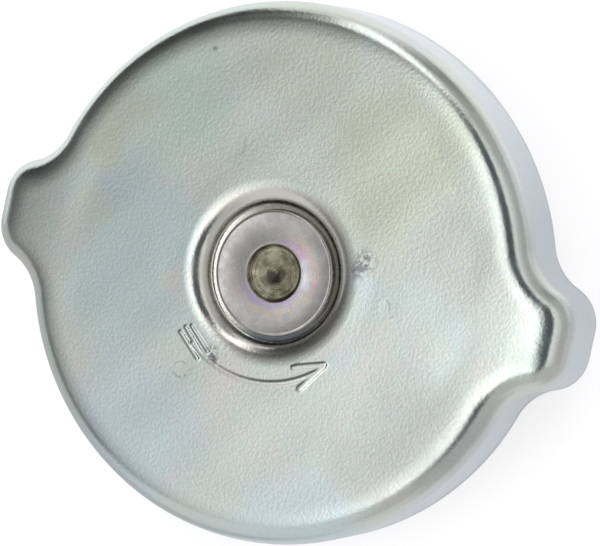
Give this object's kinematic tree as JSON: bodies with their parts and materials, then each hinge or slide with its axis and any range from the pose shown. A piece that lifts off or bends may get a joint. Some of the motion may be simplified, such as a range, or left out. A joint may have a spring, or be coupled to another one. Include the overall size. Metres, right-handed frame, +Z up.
{
  "type": "radiator cap",
  "caption": "Round pressed-steel radiator cap with grip ears, bayonet lugs, a sprung pressure valve and a vacuum valve.",
  "frame": {"origin": "on the cap's axis, at the lower face of the pressure seal on which the cap stands", "axes": "+Z up through the face of the cover, +X through the middle of one grip ear"},
  "size_m": [0.0932, 0.08, 0.0296],
  "materials": {
    "plated_sheet": "zinc plated, chromate passivated, fine grain",
    "rivet_steel": "zinc plated, smooth rolled head",
    "bright_sheet": "zinc plated",
    "spring_wire": "drawn wire",
    "rubber": "matte",
    "brass": "turned"
  },
  "bodies": {
    "cover": {"cover": "plated_sheet", "bayonet_cup": "plated_sheet"},
    "valve_body": {"rivet_stem": "rivet_steel", "thrust_washer": "bright_sheet", "spring_plate": "bright_sheet", "top_gasket": "rubber", "spring_housing": "bright_sheet", "housing_washer": "bright_sheet", "pressure_spring": "spring_wire"},
    "pressure_valve": {"valve_cup": "bright_sheet", "backing_plate": "bright_sheet", "pressure_seal": "rubber", "seal_retainer": "bright_sheet", "vacuum_spring": "spring_wire"},
    "vacuum_valve": {"vacuum_disc": "brass", "vacuum_seal": "rubber", "vacuum_stem": "brass", "spring_keeper": "brass"}
  },
  "joints": [
    {"name": "valve_swivel", "type": "hinge", "parent": "cover", "child": "valve_body", "pos_m": [0, 0, 0.026], "axis": [0, 0, 1], "continuous": true},
    {"name": "pressure_lift", "type": "slide", "parent": "valve_body", "child": "pressure_valve", "axis": [0, 0, 1], "range_m": [0, 0.005], "stiffness_N_per_m": 3000, "springref_m": -0.0008, "deforming": ["pressure_spring"]},
    {"name": "vacuum_drop", "type": "slide", "parent": "pressure_valve", "child": "vacuum_valve", "axis": [0, 0, -1], "range_m": [0, 0.0014], "stiffness_N_per_m": 400, "springref_m": -0.0005, "deforming": ["vacuum_spring"]}
  ]
}
